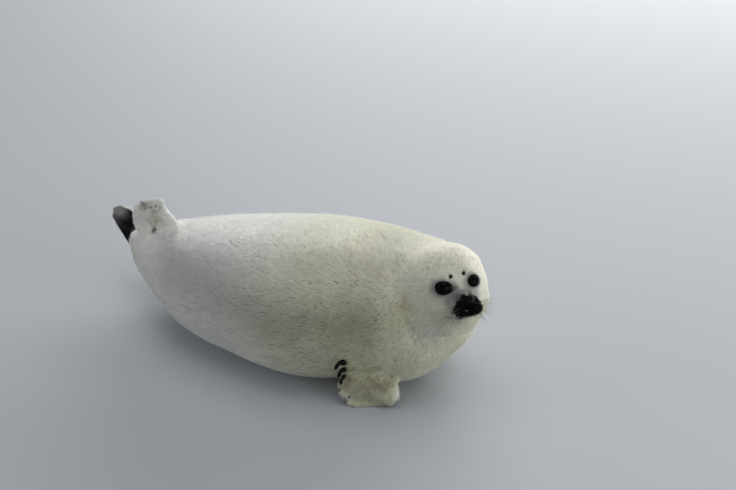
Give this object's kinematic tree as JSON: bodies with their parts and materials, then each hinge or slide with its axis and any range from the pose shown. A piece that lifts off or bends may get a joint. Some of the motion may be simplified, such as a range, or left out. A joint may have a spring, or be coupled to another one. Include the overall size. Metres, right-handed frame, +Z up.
{
  "type": "white-coated seal pup",
  "caption": "Life-size seal pup in its white coat, lying on its belly with its head raised and turned to one side.",
  "frame": {"origin": "on the floor, under the middle of the model's box", "axes": "+X along the body towards the head, +Y to the pup's left, +Z up"},
  "size_m": [1.0244, 0.4302, 0.3685],
  "materials": {
    "coat": "dense soft white natal fur with cream and olive shading",
    "claw": "dark worn horn",
    "eye": "wet, almost black",
    "nose": "moist black nose leather"
  },
  "bodies": {
    "root": {"chest": "coat", "eye_left": "eye", "eye_right": "eye", "fore_claw_left_1": "claw", "fore_claw_left_2": "claw", "fore_claw_left_3": "claw", "fore_claw_left_4": "claw", "fore_claw_left_5": "claw", "fore_claw_right_1": "claw", "fore_claw_right_2": "claw", "fore_claw_right_3": "claw", "fore_claw_right_4": "claw", "fore_claw_right_5": "claw", "fore_flipper_left": "coat", "fore_flipper_right": "coat", "head": "coat", "hind_claw_left_1": "claw", "hind_claw_left_2": "claw", "hind_claw_left_3": "claw", "hind_claw_left_4": "claw", "hind_claw_left_5": "claw", "hind_claw_right_1": "claw", "hind_claw_right_2": "claw", "hind_claw_right_3": "claw", "hind_claw_right_4": "claw", "hind_claw_right_5": "claw", "hind_flipper_left": "coat", "hind_flipper_right": "coat", "hindquarters": "coat", "lower_jaw": "coat", "muzzle": "coat", "neck": "coat", "nose": "nose", "tail": "coat", "trunk": "coat"}
  },
  "joints": []
}
